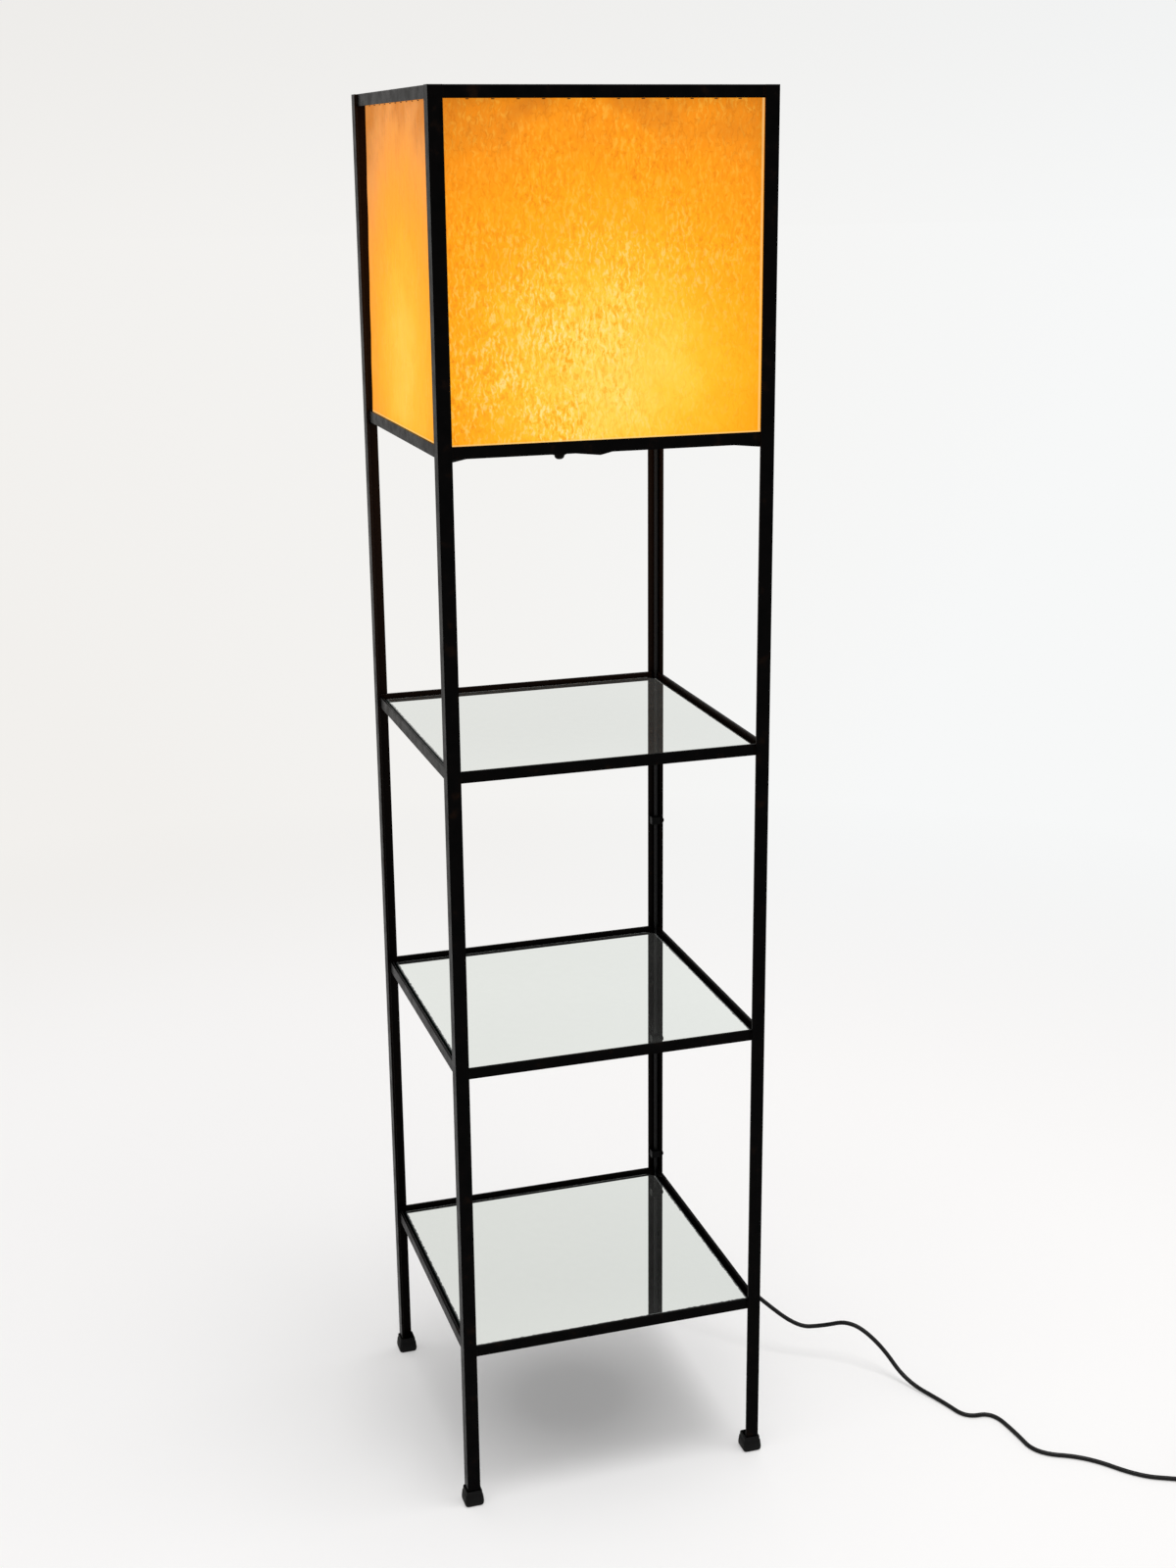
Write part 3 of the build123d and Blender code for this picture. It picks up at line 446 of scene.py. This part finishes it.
streaks = cloud(tree, streak_mm, 2.0, object_point(tree, streak_grain))
relief = math_of(tree, "ADD", math_of(tree, "MULTIPLY", streaks, 0.35), cloud(tree, rolled_mm, 2.0))
set_bump(tree, shader, relief, 0.10, 0.5)
paint(enamel, *names_with("post_", "top_rail", "shade_rail", "upper_rail", "middle_rail",
                          "lower_rail", "bar_", "weld_beads"))

# %% [markdown]
# ## Mirror shelves
# Each shelf is a loose pane of 4 mm back-silvered glass. The silver returns about four fifths of
# the light, the glass adds a faint green, and a ragged dark rim runs in from the cut edges. The
# back is sealed with grey paint, and a little dust lies on the face.

# %% Silvered glass
mirror_roughness = 0.012
dust_share = 0.045              # of the light that the dust on the face returns
dark_rim_mm = 4.0                  # reach of the ragged dark rim

silvered, tree, shader = finish("silvered_float_glass", "#E4E9E6", 0.015, Metallic=1.0)
pane_low, pane_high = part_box("mirror_upper")
pane_middle = [(low + high) / 2 for low, high in zip(pane_low, pane_high)]
pane_half = [(high - low) / 2 for low, high in zip(pane_low, pane_high)]
where = add(tree, "ShaderNodeSeparateXYZ", {0: object_point(tree)})
sides_in = []
for axis in (0, 1):
    offset = math_of(tree, "SUBTRACT", where.outputs[axis], pane_middle[axis])
    sides_in.append(math_of(tree, "SUBTRACT", pane_half[axis], math_of(tree, "ABSOLUTE", offset)))
edge_distance = math_of(tree, "MINIMUM", *sides_in)
ragged = math_of(tree, "MULTIPLY", cloud(tree, 5.0, 4.0), dark_rim_mm * MM)
past_rim = math_of(tree, "SUBTRACT", edge_distance, ragged)
dark_rim = between(tree, past_rim, -0.6 * MM, 0.6 * MM, 1.0, 0.0)
face = add(tree, "ShaderNodeTexCoord")
facing = add(tree, "ShaderNodeSeparateXYZ", {0: face.outputs["Normal"]})
is_top = between(tree, facing.outputs["Z"], 0.6, 0.8)
is_under = between(tree, facing.outputs["Z"], -0.6, -0.8)
dust = between(tree, cloud(tree, 12.0, 6.0, roughness=0.7), 0.2, 0.8, 0.6, 1.0)
silver = blended(tree, dark_rim, linear("#F0F4F1"), linear("#14181A"))
edge_glass = blended(tree, is_top, linear("#1E3A33"), silver)
sealed = blended(tree, is_under, edge_glass, linear("#6B6E6C"))
tree.links.new(sealed, shader.inputs["Base Color"])
away_from_rim = math_of(tree, "SUBTRACT", 1.0, dark_rim)
tree.links.new(math_of(tree, "MULTIPLY", is_top, away_from_rim), shader.inputs["Metallic"])
tree.links.new(between(tree, is_top, 0.0, 1.0, 0.45, mirror_roughness), shader.inputs["Roughness"])
haze = add(tree, "ShaderNodeBsdfDiffuse", {"Color": linear("#D9DAD6")})
haze_share = math_of(tree, "MULTIPLY", math_of(tree, "MULTIPLY", dust, is_top), dust_share)
dusty = add(tree, "ShaderNodeMixShader", {
    0: haze_share, 1: shader.outputs["BSDF"], 2: haze.outputs["BSDF"],
})
tree.links.new(dusty.outputs[0], tree.nodes["Material Output"].inputs["Surface"])
paint(silvered, *names_with("mirror_"))

# %% [markdown]
# ## Amber fibreglass panels
# The light box is glazed with amber sheet: chopped glass fibre in a polyester resin. Lit from
# behind, it glows most where the bulb is nearest and goes from yellow to burnt orange with
# distance. The crinkled fibres pass more or less light, so they show as short bright and dark
# strokes, strongest round the bulb. The glow is drawn from the real distance to the bulb, in
# the lamp's own space, so it stays in place from every side.

# %% What the sheets' glow is measured from
bulb_low, bulb_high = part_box("bulb_glass")
bulb_radius = (bulb_high[0] - bulb_low[0]) / 2
bulb_middle = Vector((0.0, 0.0, bulb_high[2] - bulb_radius))
post_toe = abs(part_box("post_front_left")[1][0])         # where the posts' legs end
sight_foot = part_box("shade_rail_front")[1][2]           # top of the rail under the sheets
sight_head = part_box("top_rail_front")[0][2]             # underside of the rail over them
hot_spot = (-0.052, -0.174, 1.296)      # where the front sheet is brightest and most crinkled
calm_spot = (0.125, -0.174, 1.255)      # where its fibres lie flat
print("bulb's middle:", [round(v, 4) for v in bulb_middle], "foot:", round(sight_foot, 4))

# %% Glow by metres from the bulb
front_stops = [
    (0.150, "#FFEE7E"), (0.174, "#FEDA58"), (0.190, "#FECD3C"), (0.205, "#FEC128"),
    (0.220, "#FEB61A"), (0.240, "#FEAB10"), (0.265, "#FEA00C"), (0.290, "#F8970E"),
    (0.310, "#EF8F10"), (0.350, "#D67C10"),
]
# The left sheet's stops carry a painted sheen: their paler salmon tones further from the bulb stand
# for the room's reflection seen along the sheet, so its own gloss is set low.
side_stops_with_sheen = [
    (0.150, "#FFDC66"), (0.174, "#FECA42"), (0.190, "#FEBF2C"), (0.205, "#FEB722"),
    (0.224, "#FEAE1C"), (0.250, "#FEA62B"), (0.279, "#FBA240"), (0.311, "#E8994F"),
    (0.350, "#C8813E"),
]
near, far = 0.150, 0.350
panel_glow = 0.92
# A slack sheet leans away from the bulb towards its rear edge, between these two depths.
slack_from, slack_to, slack_depth = -0.02, 0.17, 0.030
leak_starts, leak_full, leak_share = 1.7 * MM, 0.8 * MM, 0.55
darker_head_below, darker_head_near = 0.075, 0.005      # metres under the head rail
print("glow stops:", len(front_stops), len(side_stops_with_sheen))

# %% Sizes of the fibres, in millimetres
stroke_mm, bundle_mm, fold_mm = 3.2, 10.0, 7.0
blotch_mm, patch_mm = 42.0, 60.0
bend_mm = 11.0
bend_reach = (0.010,) * 3
fibre_lean = (math.radians(14), math.radians(24), 0)
crease_width = 0.045            # of the fold pattern's swing


def distance_to(tree, point, target):
    """Distance in metres from the shaded point to a fixed one."""
    inputs = {0: point, 1: target}
    return add(tree, "ShaderNodeVectorMath", inputs, operation="DISTANCE").outputs["Value"]


def swung(tree, pattern, reach_mm):
    """A noise pattern moved to swing about zero by that many millimetres."""
    return math_of(tree, "MULTIPLY", math_of(tree, "SUBTRACT", pattern, 0.5), 2 * reach_mm * MM)


def fibres(tree, point, grain):
    """The sheet's patterns, drawn along its fibres: strokes, bundles and creases."""
    # The fibres were combed by hand, so the pattern's own space is bent before it is drawn.
    bend = add(tree, "ShaderNodeTexNoise", {"Vector": point, "Scale": per(bend_mm), "Detail": 3.0})
    bent = add(tree, "ShaderNodeVectorMath", {0: bend.outputs["Color"], 1: bend_reach},
               operation="MULTIPLY")
    bent = add(tree, "ShaderNodeVectorMath", {0: bent.outputs[0], 1: point}, operation="ADD")
    along_fibre = add(tree, "ShaderNodeMapping", {
        "Vector": bent.outputs[0], "Rotation": fibre_lean, "Scale": grain,
    }).outputs[0]
    strokes = cloud(tree, stroke_mm, 2.0, along_fibre, roughness=0.5)
    bundles = cloud(tree, bundle_mm, 3.0, along_fibre, roughness=0.6)
    folds = cloud(tree, fold_mm, 1.5, along_fibre)
    # A crease is the thin line where the fold pattern crosses its own middle level.
    off_middle = math_of(tree, "ABSOLUTE", math_of(tree, "SUBTRACT", folds, 0.5))
    return strokes, bundles, between(tree, off_middle, 0.0, crease_width, 1.0, 0.0)


# %% Light through the fibres
def crinkle_weight(tree, point):
    """How strongly the crinkles show: most round the hot spot, least at the calm one."""
    patches = between(tree, cloud(tree, patch_mm, 2.0), 0.35, 0.62, 0.55, 1.15)
    crisp = between(tree, distance_to(tree, point, hot_spot), 0.02, 0.18, 1.35, 0.8)
    calm = between(tree, distance_to(tree, point, calm_spot), 0.05, 0.17, 0.25, 1.0)
    return math_of(tree, "MULTIPLY", math_of(tree, "MULTIPLY", crisp, calm), patches)


def stroke_light(tree, glow, span, strokes, creases, weight, contrast):
    """A thin stroke passes more light than its surroundings and a thick one less."""
    away = between(tree, span, 0.18, 0.27)
    thin_tone = blended(tree, away, linear("#FFF2A4"), linear("#FFC648"))
    thick_tone = blended(tree, away, linear("#FEAE22"), linear("#EC860A"))
    thin = between(tree, strokes, 0.49, 0.69, 0.0, 0.48 * contrast)
    thick = between(tree, strokes, 0.51, 0.32, 0.0, 0.80 * contrast)
    thick = math_of(tree, "ADD", thick, math_of(tree, "MULTIPLY", creases, 0.15 * contrast))
    glow = blended(tree, math_of(tree, "MULTIPLY", thin, weight), glow, thin_tone)
    return blended(tree, math_of(tree, "MULTIPLY", thick, weight), glow, thick_tone)


def edge_light(tree, glow, parts):
    """Light that leaks round the sheet's edges, beside the posts and over the lower rail."""
    nearer_side = math_of(tree, "MINIMUM", math_of(tree, "ABSOLUTE", parts.outputs["X"]),
                          math_of(tree, "ABSOLUTE", parts.outputs["Y"]))
    beside_post = between(tree, nearer_side, post_toe - leak_starts, post_toe - leak_full)
    over_rail = between(tree, parts.outputs["Z"], sight_foot + leak_starts, sight_foot + leak_full)
    leak = math_of(tree, "MULTIPLY", math_of(tree, "MAXIMUM", beside_post, over_rail), leak_share)
    return blended(tree, leak, glow, linear("#FFD68C"))


# %% The lit sheet
def fibreglass_sheet(name, stops, grain, crinkle, contrast, specular, slack=False):
    """Lit amber fibreglass: stops give its glow by distance to the bulb, grain its stretch."""
    material, tree, shader = finish(name, "#B4660F", 0.42, IOR=1.2, Specular_IOR_Level=specular)
    point = object_point(tree)
    parts = add(tree, "ShaderNodeSeparateXYZ", {0: point})
    strokes, bundles, creases = fibres(tree, point, grain)
    blotches = cloud(tree, blotch_mm, 3.0)
    weight = crinkle_weight(tree, point)
    span = distance_to(tree, point, bulb_middle)
    # Crinkles, bundles and blotches move a spot's light as if it were nearer or further.
    crinkled = math_of(tree, "ADD", swung(tree, strokes, crinkle),
                       math_of(tree, "MULTIPLY", creases, 0.10 * crinkle * MM))
    depth = math_of(tree, "ADD", span, math_of(tree, "MULTIPLY", crinkled, weight))
    depth = math_of(tree, "ADD", depth, swung(tree, bundles, 0.35 * crinkle))
    depth = math_of(tree, "ADD", depth, swung(tree, blotches, 18.0))
    if slack:
        lean = between(tree, parts.outputs["Y"], slack_from, slack_to, 0.0, slack_depth)
        depth = math_of(tree, "ADD", depth, lean)
    place = add(tree, "ShaderNodeMapRange", {"Value": depth, "From Min": near, "From Max": far})
    glow = ramp(tree, place.outputs["Result"], [
        ((reach - near) / (far - near), linear(colour)) for reach, colour in stops
    ])
    glow = stroke_light(tree, glow, span, strokes, creases, weight, contrast)
    # The glow is painted darker along the sheet's head, in blotches.
    by_head = between(tree, parts.outputs["Z"], sight_head - darker_head_below,
                      sight_head - darker_head_near)
    head_blotches = between(tree, blotches, 0.38, 0.7, 0.0, 0.62)
    painted_glow_tint = math_of(tree, "MULTIPLY", by_head, head_blotches)
    glow = edge_light(tree, blended(tree, painted_glow_tint, glow, linear("#C87218")), parts)
    tree.links.new(glow, shader.inputs["Emission Color"])
    shader.inputs["Emission Strength"].default_value = panel_glow
    resin = blended(tree, bundles, linear("#6E3A08"), linear("#8E5512"))
    resin = blended(tree, creases, resin, linear("#5A2C05"))
    tree.links.new(resin, shader.inputs["Base Color"])
    relief = math_of(tree, "ADD", strokes, math_of(tree, "MULTIPLY", bundles, 1.5))
    relief = math_of(tree, "SUBTRACT", relief, math_of(tree, "MULTIPLY", creases, 0.4))
    set_bump(tree, shader, relief, 0.22, 0.6)
    return material


# %% The front, right and back sheets, and the left one
paint(fibreglass_sheet("amber_fibreglass", front_stops, (1, 1, 0.36), 22.0, 1.0, 0.5),
      "panel_front", "panel_right", "panel_back")
paint(fibreglass_sheet("amber_fibreglass_combed", side_stops_with_sheen, (1, 1, 0.12), 8.0, 0.25, 0.05,
                       slack=True), "panel_left")

# %% [markdown]
# ## Rubber, plastics and flex
# The tips are moulded rubber gone dusty on the floor; the clips, the knob and the bushing are
# moulded black plastic; the cord and the plug are soft vinyl.

# %% Rubber tips
rubber, tree, shader = finish("moulded_black_rubber", "#080808", 0.62, Specular_IOR_Level=0.12)
scuffs = cloud(tree, 3.0, 5.0, roughness=0.7)
scuffed = ramp(tree, scuffs, [
    (0.4, linear("#050505")), (0.7, linear("#0D0C0C")), (0.85, linear("#23201D")),
])
tree.links.new(scuffed, shader.inputs["Base Color"])
tree.links.new(between(tree, scuffs, 0.3, 0.8, 0.5, 0.8), shader.inputs["Roughness"])
set_bump(tree, shader, cloud(tree, 0.8, 3.0), 0.08, 0.5)

# %% The tips' moulded shape
# Each ring of the profile: half the width, corner radius and height, in millimetres. It goes
# up the outside, with a small step where the sleeve starts, over the lip and down the socket.
tip_profile = [
    (8.8, 2.8, 0.0), (10.2, 3.3, 0.5), (11.0, 3.6, 1.8), (11.4, 3.8, 4.0), (11.3, 3.7, 6.5),
    (10.9, 3.5, 10.0), (10.5, 3.2, 13.2), (9.9, 2.8, 13.9), (9.7, 2.7, 15.0), (9.6, 2.6, 17.6),
    (9.3, 2.4, 18.6), (8.7, 2.0, 19.0), (8.0, 1.6, 18.8), (7.65, 1.3, 18.2), (7.6, 1.2, 3.6),
]
corner_steps = 5
post_low, post_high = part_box("post_front_left")
post_middle = abs(post_low[0] + post_high[0]) / 2


def rounded_square(shape, middle, half, corner, height):
    """One ring of points round a square with rounded corners, added to a mesh being built."""
    ring = []
    for quarter in range(4):
        aim = math.radians(45 + 90 * quarter)
        hub_x = middle[0] + math.copysign(half - corner, math.cos(aim)) * MM
        hub_y = middle[1] + math.copysign(half - corner, math.sin(aim)) * MM
        for i in range(corner_steps + 1):
            way = math.radians(90 * quarter + 90 * i / corner_steps)
            across, along = math.cos(way) * corner * MM, math.sin(way) * corner * MM
            ring.append(shape.verts.new((hub_x + across, hub_y + along, height * MM)))
    return ring


tip_shape = bmesh.new()
for side_x in (-1, 1):
    for side_y in (-1, 1):
        middle = (side_x * post_middle, side_y * post_middle)
        rings = [rounded_square(tip_shape, middle, *level) for level in tip_profile]
        for lower, upper in zip(rings, rings[1:]):
            for i in range(len(lower)):
                j = (i + 1) % len(lower)
                tip_shape.faces.new((lower[i], lower[j], upper[j], upper[i])).smooth = True
        tip_shape.faces.new(reversed(rings[0]))
        tip_shape.faces.new(rings[-1])
bmesh.ops.recalc_face_normals(tip_shape, faces=tip_shape.faces)
tip_mesh = bpy.data.meshes.new("moulded_tips")
tip_shape.to_mesh(tip_mesh)
tip_shape.free()
tip_mesh.materials.append(rubber)
tips = bpy.data.objects.new("moulded_tips", tip_mesh)
scene.collection.objects.link(tips)
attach(tips, "frame")
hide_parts("rubber_tips")
print("tips:", len(tip_mesh.polygons), "faces, posts' middle at", round(post_middle, 4))

# %% Black plastic
plastic, tree, shader = finish("moulded_black_plastic", "#040404", 0.38, Specular_IOR_Level=0.05)
tree.links.new(between(tree, cloud(tree, 6.0), 0.3, 0.7, 0.32, 0.5), shader.inputs["Roughness"])
set_bump(tree, shader, cloud(tree, 0.6, 2.0), 0.03, 0.4)
paint(plastic, "switch_knob", "cord_bushing", "cord_clips")

# %% Vinyl flex and plug
flex, tree, shader = finish("vinyl_flex", "#0A0A0B", 0.42, Specular_IOR_Level=0.2)
wear = cloud(tree, 4.0, 4.0)
worn = ramp(tree, wear, [(0.4, linear("#070708")), (0.75, linear("#141313"))])
tree.links.new(worn, shader.inputs["Base Color"])
tree.links.new(between(tree, wear, 0.3, 0.75, 0.36, 0.55), shader.inputs["Roughness"])
set_bump(tree, shader, cloud(tree, 1.5, 2.0), 0.04, 0.4)
cord_curve.materials.append(flex)
paint(flex, "cord_run", "plug_body")

strap, tree, shader = finish("woven_tie_strap", "#101114", 0.85)
weave = add(tree, "ShaderNodeTexWave", {
    "Vector": object_point(tree), "Scale": per(3.2), "Distortion": 1.0,
}).outputs["Fac"]
woven = blended(tree, weave, linear("#0B0C0E"), linear("#22242A"))
tree.links.new(woven, shader.inputs["Base Color"])
set_bump(tree, shader, weave, 0.25, 0.8)
paint(strap, "coil_tie")

# %% [markdown]
# ## Metals
# The threaded tube in the middle is zinc-plated steel and the nuts and screws are blackened, so
# the first is pale and the others nearly as dark as the frame. The lampholder is brass-plated,
# its contacts are plain brass, the bulb's cap is bare aluminium and the staples are dull wire.


# %% Metals
def metal(name, hex_colour, dull_colour, roughness, grain_mm):
    """Bare or plated metal with a tarnish that follows a slow mottle."""
    material, tree, shader = finish(name, hex_colour, roughness, Metallic=1.0)
    tarnish = cloud(tree, 4.0, 4.0)
    dulled = between(tree, tarnish, 0.4, 0.75)
    tone = blended(tree, dulled, linear(hex_colour), linear(dull_colour))
    tree.links.new(tone, shader.inputs["Base Color"])
    rough = between(tree, tarnish, 0.3, 0.7, roughness * 0.8, roughness * 1.4)
    tree.links.new(rough, shader.inputs["Roughness"])
    set_bump(tree, shader, cloud(tree, grain_mm, 2.0), 0.03, 0.4)
    return material


paint(metal("zinc_plated_steel", "#B9B8B4", "#8A8782", 0.30, 0.7), "nipple")
paint(metal("blackened_steel", "#131211", "#0A0908", 0.42, 0.9),
      "cap_nut", "hex_nut", "clip_screws")
paint(metal("brass_plated_holder", "#C9A763", "#8D7340", 0.26, 1.2), "holder_cap", "holder_shell")
paint(metal("contact_brass", "#D2B06A", "#A3854A", 0.22, 0.8),
      "contact_tongue", "screw_shell", "bulb_tip", "plug_blades")
paint(metal("bulb_cap_aluminium", "#CFCFCC", "#A9A8A4", 0.28, 0.8), "bulb_cap")
paint(metal("staple_wire", "#3A332C", "#1F1A15", 0.45, 0.6), "panel_staples")

# %% [markdown]
# ## Liner, switch block and battens
# The lampholder's liner is pressed fibre board, matt and a little furry. The switch block is
# moulded phenolic, hard and slightly glossy. The battens behind the sheets are stained pine,
# whose grain runs along them, so its noise is stretched.

# %% Fibre liner, switch block, battens
liner, tree, shader = finish("pressed_fibre_liner", "#3A2F29", 0.9)
pressed = blended(tree, cloud(tree, 1.0, 4.0), linear("#2B221D"), linear("#4B3E36"))
tree.links.new(pressed, shader.inputs["Base Color"])
set_bump(tree, shader, cloud(tree, 0.7, 3.0), 0.1, 0.6)
paint(liner, "holder_sleeve")

phenolic, tree, shader = finish("moulded_phenolic", "#241610", 0.34)
marbled = blended(tree, cloud(tree, 2.0, 3.0), linear("#1E120D"), linear("#2F1D15"))
tree.links.new(marbled, shader.inputs["Base Color"])
set_bump(tree, shader, cloud(tree, 0.9, 2.0), 0.03, 0.4)
paint(phenolic, "switch_block")

batten_wood, tree, shader = finish("stained_pine_batten", "#4A2E1A", 0.7)
wood_grain = cloud(tree, 2.0, 4.0, object_point(tree, (0.15, 0.15, 1.0)))
stain = ramp(tree, wood_grain, [(0.35, linear("#33200F")), (0.65, linear("#5A3A22"))])
tree.links.new(stain, shader.inputs["Base Color"])
set_bump(tree, shader, wood_grain, 0.15, 0.5)
paint(batten_wood, "panel_battens")

# %% [markdown]
# ## The bulb
# A round frosted bulb, lit. The glass glows all over, warmest towards its neck, and lights the
# inside of the light box.

# %% The lit bulb
bulb_glow = 1.35
neck_level = bulb_low[2]
frosted, tree, shader = finish("frosted_lit_glass", "#FFF1D6", 0.25)
rise = add(tree, "ShaderNodeSeparateXYZ", {0: object_point(tree)}).outputs["Z"]
warmth = between(tree, rise, neck_level, neck_level + 2 * bulb_radius)
lit_tone = blended(tree, warmth, linear("#FFB347"), linear("#FFE9BE"))
tree.links.new(lit_tone, shader.inputs["Emission Color"])
shader.inputs["Emission Strength"].default_value = bulb_glow
set_bump(tree, shader, cloud(tree, 0.5, 2.0), 0.02, 0.3)
paint(frosted, "bulb_glass")
paint(metal("tungsten_wire", "#9A948C", "#6A655F", 0.4, 0.5), "bulb_filament")
